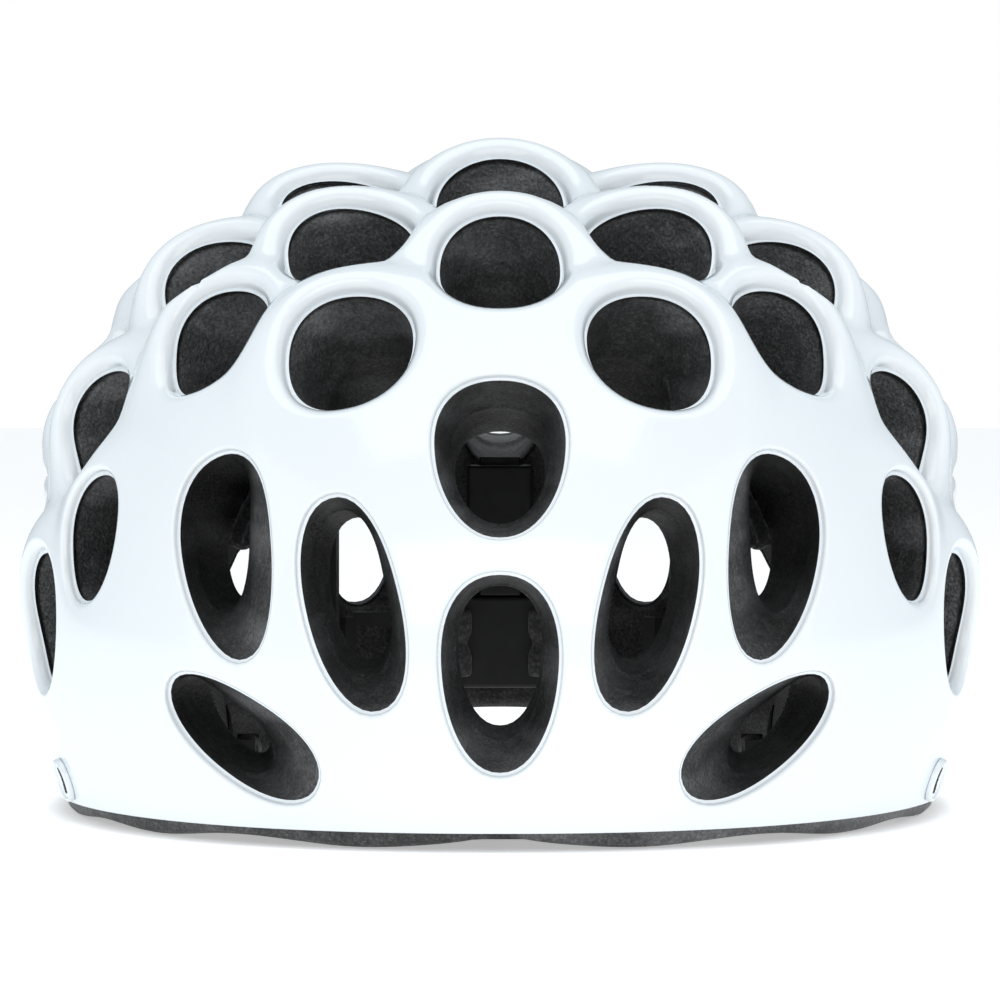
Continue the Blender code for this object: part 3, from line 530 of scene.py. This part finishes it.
class Look:
    """A node material being put together. Textures are laid out in metres on the object itself."""

    def __init__(self, name, roughness, metallic=0.0):
        self.material = bpy.data.materials.new(name)
        self.material.use_nodes = True
        self.tree = self.material.node_tree
        self.shader = self.tree.nodes["Principled BSDF"]
        self.shader.inputs["Roughness"].default_value = roughness
        self.shader.inputs["Metallic"].default_value = metallic
        self.place = self.node("TexCoord").outputs["Object"]
        self.normal = None

    def node(self, kind, settings=(), **values):
        made = self.tree.nodes.new("ShaderNode" + kind)
        for name, value in settings:
            setattr(made, name, value)
        for name, value in values.items():
            self.feed(made.inputs[name.replace("_", " ")], value)
        return made

    def feed(self, socket, value):
        if isinstance(value, bpy.types.NodeSocket):
            self.tree.links.new(value, socket)
        else:
            socket.default_value = value

    def stretched(self, scale, place=None):
        source = place if place is not None else self.place
        return self.node("Mapping", Vector=source, Scale=scale).outputs["Vector"]

    def noise(self, scale, detail=4.0, place=None):
        source = place if place is not None else self.place
        return self.node("TexNoise", Vector=source, Scale=scale, Detail=detail).outputs["Fac"]

    def cells(self, scale, output="Distance", feature="F1"):
        made = self.node("TexVoronoi", [("feature", feature)], Vector=self.place, Scale=scale)
        return made.outputs[output]

    def math(self, operation, first, second=0.0):
        made = self.node("Math", [("operation", operation)])
        self.feed(made.inputs[0], first)
        self.feed(made.inputs[1], second)
        return made.outputs[0]

    def ramp(self, share, *stops):
        """Colours at positions from 0 to 1 along share."""
        made = self.node("ValToRGB", Fac=share)
        ends = made.color_ramp.elements
        while len(ends) < len(stops):
            ends.new(0.5)
        for end, (position, colour) in zip(ends, stops):
            end.position = position
            end.color = (*colour, 1.0)
        return made.outputs["Color"]

    def range(self, share, low, high):
        """share from 0 to 1 as a value from low to high."""
        return self.node("MapRange", Value=share, To_Min=low, To_Max=high).outputs["Result"]

    def mixed(self, share, first, second):
        made = self.node("Mix", [("data_type", "RGBA")], Factor=share)
        self.feed(made.inputs[6], first)
        self.feed(made.inputs[7], second)
        return made.outputs[2]

    def bump(self, height, depth, strength=1.0):
        made = self.node("Bump", Height=height, Distance=depth, Strength=strength)
        if self.normal:
            self.feed(made.inputs["Normal"], self.normal)
        self.normal = made.outputs["Normal"]
        self.feed(self.shader.inputs["Normal"], self.normal)

    def set(self, **values):
        for name, value in values.items():
            self.feed(self.shader.inputs[name.replace("_", " ")], value)


def grey(value, blue=0.0):
    return (value, value, value + blue)


def shell_look():
    """Glossy white polycarbonate: clear top layer, faint orange peel, and painted shade, cooler and greyer,
    where it turns away from the view.
    """
    look = Look("shell_gloss", 0.16)
    facing = look.node("LayerWeight", Blend=0.35).outputs["Facing"]
    # Painted shade and sky reflection: the colour turns grey-blue as the surface turns edge-on to the view.
    square, slanted_shade, edge_on_shade = (0.93, 0.955, 0.97), (0.87, 0.925, 0.96), (0.7, 0.81, 0.89)
    painted_edge_shade = look.ramp(facing, (0.0, square), (0.55, slanted_shade), (1.0, edge_on_shade))
    cloudy = look.ramp(look.noise(9.0, 3.0), (0.35, (0.965, 0.975, 0.98)), (0.7, (1.0, 1.0, 1.0)))
    painted_shade_and_clouding = look.node("Mix", [("data_type", "RGBA"), ("blend_type", "MULTIPLY")], Factor=1.0)
    look.feed(painted_shade_and_clouding.inputs[6], painted_edge_shade)
    look.feed(painted_shade_and_clouding.inputs[7], cloudy)
    look.set(
        Base_Color=painted_shade_and_clouding.outputs[2],
        Roughness=look.range(look.noise(60.0), 0.1, 0.22),
        Coat_Weight=0.7,
        Coat_Roughness=0.04,
    )
    look.bump(look.noise(650.0, 2.0), 0.00006, 0.25)
    look.bump(look.noise(45.0, 2.0), 0.0004, 0.12)
    return look.material


def foam_look():
    """Moulded bead foam: gritty skin over flattened beads, streaked paler where it has been rubbed, with pale
    specks painted on as highlights.
    """
    look = Look("bead_foam", 0.6)
    seam = look.cells(300.0, feature="DISTANCE_TO_EDGE")
    bead = look.node("SeparateColor", Color=look.cells(300.0, "Color")).outputs["Red"]
    grit, glint_spots = look.noise(1500.0, 5.0), look.noise(2600.0, 3.0)
    streak = look.noise(34.0, 6.0, look.stretched((1.0, 0.3, 2.6)))
    tone = look.math("ADD", look.math("MULTIPLY", bead, 0.12), look.math("MULTIPLY", grit, 0.85))
    shade = look.ramp(tone, (0.25, grey(0.012)), (0.5, grey(0.05)), (0.75, grey(0.13)))
    worn = look.math("MULTIPLY", look.ramp(streak, (0.48, grey(0.0)), (0.7, grey(0.8))), grit)
    # Painted highlights: the pale specks stand in for glints off the gritty skin.
    pale = look.ramp(glint_spots, (0.62, grey(0.0)), (0.74, grey(0.75)))
    face = look.mixed(worn, shade, (0.34, 0.34, 0.35, 1.0))
    groove = look.ramp(seam, (0.0, grey(0.8)), (0.12, grey(1.0)))
    face_with_painted_glints = look.mixed(look.math("MULTIPLY", pale, 0.5), face, (0.4, 0.4, 0.41, 1.0))
    look.set(
        Base_Color=look.mixed(groove, (0.008, 0.008, 0.008, 1.0), face_with_painted_glints),
        Roughness=look.range(look.noise(140.0), 0.4, 0.75),
    )
    look.bump(groove, 0.0003, 0.25)
    look.bump(grit, 0.0005, 0.8)
    look.bump(look.noise(180.0, 4.0), 0.0008, 0.5)
    return look.material


def plastic_look(name, shade, roughness, grain, deep):
    """Moulded plastic with a spark-eroded grain and slight mottling."""
    look = Look(name, roughness)
    mottle = look.noise(120.0, 3.0)
    look.set(
        Base_Color=look.ramp(mottle, (0.3, grey(shade * 0.8)), (0.75, grey(shade * 1.35, shade * 0.1))),
        Roughness=look.range(look.noise(300.0), roughness - 0.1, roughness + 0.12),
    )
    look.bump(look.noise(grain, 3.0), deep, 0.5)
    look.bump(look.cells(grain * 0.6), deep, 0.3)
    return look.material


def webbing_look():
    """Woven strap: ribs along it, picks across it, a plain edge on each side. UVs are in millimetres."""
    look = Look("webbing_weave", 0.75)
    at = look.node("UVMap").outputs["UV"]
    parts = look.node("SeparateXYZ", Vector=at)
    across, along = parts.outputs["X"], parts.outputs["Y"]
    rib = look.math("SINE", look.math("MULTIPLY", across, 2 * math.pi / WEB_RIB))
    shift = look.math("MULTIPLY", look.math("SIGN", rib), math.pi / 2)
    pick = look.math("SINE", look.math("ADD", look.math("MULTIPLY", along, 2 * math.pi / WEB_PICK), shift))
    weave = look.math("MULTIPLY", look.math("ABSOLUTE", rib), look.range(pick, 0.35, 1.0))
    fibre = look.noise(1.0, 2.0, look.stretched((9.0, 1.2, 1.0), at))
    tone = look.math("MULTIPLY", weave, look.range(fibre, 0.6, 1.2))
    look.set(
        Base_Color=look.ramp(tone, (0.0, grey(0.008)), (0.6, grey(0.05, 0.002)), (1.0, grey(0.1, 0.004))),
        Roughness=look.range(fibre, 0.55, 0.85),
        Sheen_Weight=0.25,
    )
    look.bump(weave, 0.00025, 0.9)
    look.bump(fibre, 0.00006, 0.5)
    return look.material


def cloth_look():
    """Brushed knit over soft foam: small loops, loose fibres, faint wear."""
    look = Look("pad_knit", 0.95)
    loops = look.cells(950.0)
    fuzz = look.noise(2600.0, 2.0)
    worn = look.noise(70.0, 5.0)
    tone = look.math("MULTIPLY", look.math("SUBTRACT", 1.0, loops), look.range(fuzz, 0.7, 1.2))
    base = look.ramp(tone, (0.1, grey(0.03)), (0.6, grey(0.09, 0.004)), (1.0, grey(0.16, 0.006)))
    look.set(
        Base_Color=look.mixed(look.range(worn, 0.0, 0.35), base, (0.16, 0.16, 0.165, 1.0)),
        Sheen_Weight=0.5,
        Sheen_Roughness=0.4,
    )
    look.bump(loops, 0.0003, 0.8)
    look.bump(fuzz, 0.0001, 0.6)
    return look.material


def steel_look():
    look = Look("spring_steel", 0.3, 1.0)
    grain = look.noise(400.0, 4.0, look.stretched((1.0, 14.0, 1.0)))
    look.set(
        Base_Color=look.ramp(grain, (0.3, (0.42, 0.42, 0.43)), (0.7, (0.62, 0.62, 0.63))),
        Roughness=look.range(grain, 0.22, 0.42),
    )
    look.bump(grain, 0.00003, 0.5)
    return look.material


def floor_look():
    """Matt pale paper, clear when seen from underneath."""
    look = Look("floor_paper", 0.7)
    fibre = look.noise(600.0, 5.0)
    look.set(
        Base_Color=look.ramp(fibre, (0.3, grey(0.9)), (0.7, grey(0.96))),
        Emission_Color=(1.0, 1.0, 1.0, 1.0),
        Emission_Strength=FLOOR_GLOW,
    )
    look.bump(fibre, 0.0001, 0.1)
    mix = look.node("MixShader", Fac=look.node("NewGeometry").outputs["Backfacing"])
    look.feed(mix.inputs[1], look.shader.outputs["BSDF"])
    look.feed(mix.inputs[2], look.node("BsdfTransparent").outputs["BSDF"])
    look.feed(look.tree.nodes["Material Output"].inputs["Surface"], mix.outputs["Shader"])
    return look.material


# ---------------------------------------------------------------- plugs


def shell_slope(point):
    """Outward direction, square to the shell, nearest a point."""
    steps = point + np.eye(3) * 0.5
    rise = [np.linalg.norm(p) - shell_radius(unit(p)) for p in level(np.concatenate([point[None], steps]))]
    return unit(np.array(rise[1:]) - rise[0])


def make_plug(side, word, material, slot_shade_paint):
    """A push-in plug: dished face with a slot whose floor is painted black as shade, rounded edge, and a stem
    down into the foam.
    """
    low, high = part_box(f"temple_plug_{word}")
    centre = (np.array(low) + np.array(high)) / 2 / MM
    axis = shell_slope(centre)
    across = unit(np.cross(axis, (0, 0, 1)))
    up = np.cross(across, axis)
    turn = 2 * math.pi * np.arange(PLUG_SIDES) / PLUG_SIDES
    sections, sunk = [], []
    front = tuple((FACE_HEIGHT, radius) for radius in np.linspace(FACE_RADIUS, 0.2, FACE_RINGS))
    for height, radius in PLUG_PROFILE + front:
        x, y = radius * np.cos(turn), radius * np.sin(turn)
        past = np.maximum(np.abs(x) - SLOT_HALF[0], np.abs(y) - SLOT_HALF[1])
        on_face = radius <= FACE_RADIUS
        depth = SLOT_DEEP / (1 + np.exp(past / SLOT_EDGE)) * on_face
        dish = FACE_DISH * (1 - (radius / PLUG_PROFILE[-1][1]) ** 2) * on_face
        rise = (height - dish - depth)[:, None]
        sections.append(centre + across * x[:, None] + up * y[:, None] + axis * rise)
        sunk.append(depth > SLOT_DEEP * 0.4)
    plug = swept(f"plug_{word}", np.array(sections), material)
    # Painted shade: the slot's floor takes the black thread material, standing in for the shade down the
    # slot.
    plug.data.materials.append(slot_shade_paint)
    sunk = np.concatenate(sunk)
    for face in plug.data.polygons:
        face.material_index = int(sunk[list(face.vertices)].any())
    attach(plug, "root")
    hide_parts(f"temple_plug_{word}")


# ---------------------------------------------------------------- webbing


def swept(name, sections, material, uvs=None):
    """A closed skin over cross-sections; uvs gives a pair for each point."""
    rows, count = sections.shape[:2]
    ids = np.arange(rows * count).reshape(rows, count)
    faces = [tuple(q) for a, b in zip(ids, ids[1:]) for q in quads(a, b)]
    faces += [tuple(ids[0, ::-1]), tuple(ids[-1])]
    made = make_mesh(name, sections.reshape(-1, 3), faces, material)
    made.data.set_sharp_from_angle(angle=SHARP_ANGLE)
    if uvs is not None:
        layer = made.data.uv_layers.new(name="weave")
        corner = np.zeros(len(made.data.loops), int)
        made.data.loops.foreach_get("vertex_index", corner)
        layer.data.foreach_set("uv", uvs.reshape(-1, 2)[corner].ravel())
    return made


def smoothed(path, across, spacing):
    """The path and its width directions, resampled on a smooth curve at even spacing."""
    p, w = np.array(path, float), unit(np.array(across, float))
    run = np.concatenate([[0], np.cumsum(np.linalg.norm(np.diff(p, axis=0), axis=1))])
    slope = np.gradient(p, run, axis=0)
    at = np.linspace(0, run[-1], max(int(run[-1] / spacing), 4))
    k = np.clip(np.searchsorted(run, at, side="right") - 1, 0, len(run) - 2)
    gap = (run[k + 1] - run[k])[:, None]
    t = (at - run[k])[:, None] / gap
    curve = (
        (2 * t**3 - 3 * t**2 + 1) * p[k]
        + (t**3 - 2 * t**2 + t) * gap * slope[k]
        + (3 * t**2 - 2 * t**3) * p[k + 1]
        + (t**3 - t**2) * gap * slope[k + 1]
    )
    return curve, unit(w[k] * (1 - t) + w[k + 1] * t), at


def web_frame(path, across, spacing):
    """Middle line, width and face directions, and distance along, of a strap."""
    curve, wide, at = smoothed(path, across, spacing)
    ahead = unit(np.gradient(curve, axis=0))
    wide = unit(wide - ahead * (wide * ahead).sum(-1)[:, None])
    return curve, wide, np.cross(ahead, wide), at


def tack_row(place, wide, face, side, slant):
    """Points of one stitch across the strap, on its front or back, arched in the middle."""
    ahead = np.cross(wide, face)
    points = []
    for step in np.linspace(-1, 1, TACK_STEPS):
        height = 0.1 + 0.14 * math.sqrt(max(0.0, 1 - step**2))
        middle = place + wide * (step * TACK_HALF)
        middle = middle + face * side * (WEB_THICK + height) + ahead * slant * step
        for a in np.arange(TACK_SIDES) * 2 * math.pi / TACK_SIDES:
            points.append(middle + (face * math.cos(a) + ahead * math.sin(a)) * TACK_RADIUS)
    return points


def make_web(name, path, across, tacks, material, thread_and_slot_shade, body, replaced):
    """Woven strap with rounded edges, a slight wave, and bar tacks at distances along it."""
    curve, wide, face, at = web_frame(path, across, WEB_STEP)
    turn = 2 * math.pi * np.arange(WEB_SIDES) / WEB_SIDES
    c, s = np.cos(turn), np.sin(turn)
    x = (WEB_WIDTH / 2 - 0.15) * np.sign(c) * np.abs(c) ** 0.45
    thick = WEB_THICK + 0.12 * np.exp(-(((np.abs(x) - 6.4) / 0.7) ** 2))
    z = thick * np.sign(s) * np.abs(s) ** 0.35
    wave = 0.1 * np.sin(at * 0.31)[:, None] * np.cos(x / 3.0)[None, :]
    raised = (z[None, :] + wave)[:, :, None]
    sections = curve[:, None] + wide[:, None] * x[None, :, None] + face[:, None] * raised
    uvs = np.stack(np.broadcast_arrays(x[None, :], at[:, None]), -1).astype(float)
    web = swept(name, sections, material, uvs)
    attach(web, body)
    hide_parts(replaced)
    points, faces = [], []
    for tack in tacks:
        for side in (-1, 1):
            for number in range(TACK_ROWS):
                k = int(np.argmin(np.abs(at - tack - (number - TACK_ROWS / 2) * TACK_GAP)))
                row = tack_row(curve[k], wide[k], face[k], side, 0.3 if number % 2 else -0.3)
                ids = len(points) + np.arange(len(row)).reshape(TACK_STEPS, TACK_SIDES)
                points += row
                faces += [tuple(q) for a, b in zip(ids, ids[1:]) for q in quads(a, b)]
                faces += [tuple(ids[0, ::-1]), tuple(ids[-1])]
    stitches = make_mesh(f"{name}_tacks", points, faces, thread_and_slot_shade)
    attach(stitches, body)


def loop_arc(centre, first, last, count):
    """Points of a strap's loop round a bar, between two angles in degrees."""
    turn = np.radians(np.linspace(first, last, count))
    return [(centre[0] + LOOP_RADIUS * math.cos(a), centre[1] + LOOP_RADIUS * math.sin(a)) for a in turn]


def make_straps(weave, thread_and_slot_shade):
    """Each side's front and rear strap from rim anchor to divider, and its chin strap."""
    for side, word in ((-1, "left"), (1, "right")):
        for end, (anchor_y, divider_y) in ANCHOR_BACK.items():
            path = [(side * x, anchor_y, z) for x, z in loop_arc(SWING, 335, 90, 11)]
            across = [np.array([0.0, 1.0, 0.0])] * len(path)
            first = np.array([SWING[0] + LOOP_RADIUS, anchor_y, SWING[1] + 1.5])
            last = np.array([DIVIDER_MIDDLE, divider_y, DIVIDER_ENTRY])
            lean = unit(last - first)
            flat = unit(np.array([0, lean[2], -lean[1]]))
            for t in np.linspace(0, 1, 11):
                point = first + (last - first) * t
                bulge = STRAP_BULGE * math.sin(math.pi * min(t / 0.88, 1.0))
                path.append((side * (point[0] + bulge), point[1], point[2]))
                share = min(t * 3, 1.0)
                across.append(np.array([0.0, 1.0, 0.0]) * (1 - share) + flat * share)
            name, replaced = f"web_{end}_{word}", f"strap_{end}_{word}"
            make_web(name, path, across, (STRAP_TACK,), weave, thread_and_slot_shade, f"harness_{word}", replaced)
        path = [(side * x, CHIN_BACK, z) for x, z in loop_arc(CHIN_PIN, 515, 270, 11)]
        chin_x = CHIN_PIN[0] - LOOP_RADIUS
        path += [(side * chin_x, CHIN_BACK, z) for z in np.linspace(CHIN_PIN[1] - 2, CHIN_ENDS[word], 7)]
        across = [np.array([0.0, 1.0, 0.0])] * len(path)
        name, replaced = f"web_chin_{word}", f"chin_strap_{word}"
        make_web(name, path, across, CHIN_TACKS[word], weave, thread_and_slot_shade, f"chin_{word}", replaced)


# ---------------------------------------------------------------- pads


def rounded(made, factor, repeats):
    """Evens out the object's mesh so that its edges turn soft."""
    smooth = made.modifiers.new("rounded", "SMOOTH")
    smooth.factor, smooth.iterations = factor, repeats


def make_pad(node, body, shrink, voxel, creases, material):
    """Sewn pad: inflated from a slightly smaller solid, then drawn in along its sewn channels."""
    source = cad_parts[node]
    mesh = source.data.copy()
    matrix = source.matrix_world
    points = np.array([matrix @ v.co for v in mesh.vertices])
    pad = bpy.data.objects.new(f"{node}_cover", mesh)
    bpy.context.scene.collection.objects.link(pad)
    mesh.materials.clear()
    mesh.materials.append(material)
    mesh.vertices.foreach_set("co", points.ravel())
    mesh.update()
    outward = np.array([v.normal for v in mesh.vertices])
    mesh.vertices.foreach_set("co", (points - outward * shrink * MM).ravel())
    bpy.context.view_layer.objects.active = pad
    remesh = pad.modifiers.new("even", "REMESH")
    remesh.mode, remesh.voxel_size = "VOXEL", voxel * MM
    rounded(pad, 0.6, PAD_ROUNDS)
    settle(pad)
    rest = np.array([v.co for v in pad.data.vertices])
    cloth = pad.modifiers.new("inflate", "CLOTH")
    cloth.settings.use_pressure = True
    cloth.settings.uniform_pressure_force = PAD_PRESSURE
    cloth.settings.effector_weights.gravity = 0.0
    cloth.settings.mass = PAD_MASS
    cloth.point_cache.frame_end = PAD_FRAMES
    for number in range(1, PAD_FRAMES + 1):
        bpy.context.scene.frame_set(number)
    settle(pad)
    bpy.context.scene.frame_set(1)
    moved = np.array([v.co for v in pad.data.vertices]) - rest
    distance = np.linalg.norm(moved, axis=1)[:, None]
    rest = rest + moved * np.minimum(1.0, PAD_SWELL * MM / np.maximum(distance, 1e-9))
    pad.data.vertices.foreach_set("co", rest.ravel())
    pad.data.update()
    normal = np.array([v.normal for v in pad.data.vertices])
    start, size = rest.min(0), np.ptp(rest, axis=0)
    longest = int(np.argmax(size))
    drawn = np.zeros(len(rest))
    for crease in creases:
        off = (rest[:, longest] - start[longest] - crease * size[longest]) / MM
        drawn = np.maximum(drawn, CREASE_DEEP * np.exp(-((off / CREASE_WIDE) ** 2)))
    pad.data.vertices.foreach_set("co", (rest - normal * drawn[:, None] * MM).ravel())
    pad.data.update()
    rounded(pad, 0.5, 2)
    settle(pad)
    pad.data.shade_smooth()
    finer = pad.modifiers.new("smooth", "SUBSURF")
    finer.levels = finer.render_levels = 1
    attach(pad, body)
    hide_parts(node)


def settle(made):
    """Turns the object's modifiers into its mesh."""
    shape = made.evaluated_get(bpy.context.evaluated_depsgraph_get())
    mesh = bpy.data.meshes.new_from_object(shape)
    made.modifiers.clear()
    made.data = mesh


# ---------------------------------------------------------------- moulded parts


def dress(names, material, bevel):
    """Gives CAD nodes their finish and softens their edges by a bevel in millimetres."""
    for name in names:
        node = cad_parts[name]
        for own in node.material_slots:
            own.link = "OBJECT"
            own.material = material
        if bevel:
            edge = node.modifiers.new("edge", "BEVEL")
            edge.width = bevel * MM
            edge.segments = 2
            edge.limit_method = "ANGLE"
            edge.angle_limit = SHARP_ANGLE
            edge.harden_normals = True


# ---------------------------------------------------------------- stage


def area_light(name, place, target, size, power):
    """A soft box at place that faces target, in metres and watts."""
    light = bpy.data.lights.new(name, "AREA")
    light.shape = "RECTANGLE"
    light.size, light.size_y = size
    light.energy = power
    made = bpy.data.objects.new(name, light)
    made.location = place
    made.rotation_euler = (Vector(target) - Vector(place)).to_track_quat("-Z", "Y").to_euler()
    bpy.context.scene.collection.objects.link(made)


def make_stage():
    """Pale floor, four soft lights, an even sky that the camera sees as white, and the camera."""
    floor_mesh = bpy.data.meshes.new("floor")
    corners = [(x, y, FLOOR_HEIGHT) for x, y in FLOOR_CORNERS]
    floor_mesh.from_pydata(corners, [], [(0, 1, 2, 3)])
    floor_mesh.materials.append(floor_look())
    floor = bpy.data.objects.new("floor", floor_mesh)
    bpy.context.scene.collection.objects.link(floor)
    for row in LIGHTS:
        area_light(*row)
    world = bpy.data.worlds.new("studio")
    world.use_nodes = True
    nodes, links = world.node_tree.nodes, world.node_tree.links
    seen, lighting = nodes["Background"], nodes.new("ShaderNodeBackground")
    seen.inputs["Color"].default_value = (1.0, 1.0, 1.0, 1.0)
    lighting.inputs["Color"].default_value = SKY_COLOUR
    lighting.inputs["Strength"].default_value = SKY_STRENGTH
    mix, path = nodes.new("ShaderNodeMixShader"), nodes.new("ShaderNodeLightPath")
    links.new(path.outputs["Is Camera Ray"], mix.inputs["Fac"])
    links.new(lighting.outputs["Background"], mix.inputs[1])
    links.new(seen.outputs["Background"], mix.inputs[2])
    links.new(mix.outputs["Shader"], nodes["World Output"].inputs["Surface"])
    bpy.context.scene.world = world
    bpy.context.scene.view_settings.view_transform = "Standard"
    camera_data = bpy.data.cameras.new("camera")
    camera_data.sensor_width = SENSOR
    camera_data.lens = FOCAL_WIDTHS * SENSOR
    camera = bpy.data.objects.new("camera", camera_data)
    back = Vector((0, -math.cos(CAMERA_RISE), math.sin(CAMERA_RISE)))
    camera.location = CAMERA_TARGET + back * CAMERA_AWAY
    camera.rotation_euler = (-back).to_track_quat("-Z", "Y").to_euler()
    bpy.context.scene.collection.objects.link(camera)
    bpy.context.scene.camera = camera


shell_white = shell_look()
weave = webbing_look()
# Black thread for the bar tacks, also used as painted shade on the plug slots' floors.
thread_and_slot_shade = plastic_look("tack_thread_and_slot_shade", 0.03, 0.6, 1800.0, 0.00005)
make_shell(shell_white)
make_foam(foam_look())
for side, word in ((-1, "left"), (1, "right")):
    make_plug(side, word, shell_white, thread_and_slot_shade)
make_straps(weave, thread_and_slot_shade)
knit = cloth_look()
for row in PADS:
    make_pad(*row, knit)
moulded = ("divider_", "buckle_", "front_anchor", "rear_anchor", "strap_keeper", "cradle_", "strut_rail",
           "band_")
hard = plastic_look("moulded_black", 0.02, 0.42, 2200.0, 0.00003)
dress([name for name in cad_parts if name.startswith(moulded)], hard, 0.25)
dress(["dial_knob"], plastic_look("dial_rubber", 0.026, 0.62, 1400.0, 0.00008), 0.3)
dress(["dial_pinion"], plastic_look("pinion_nylon", 0.035, 0.36, 2600.0, 0.00002), 0.0)
dress(["dial_screw", "detent_spring"], steel_look(), 0.1)
make_stage()
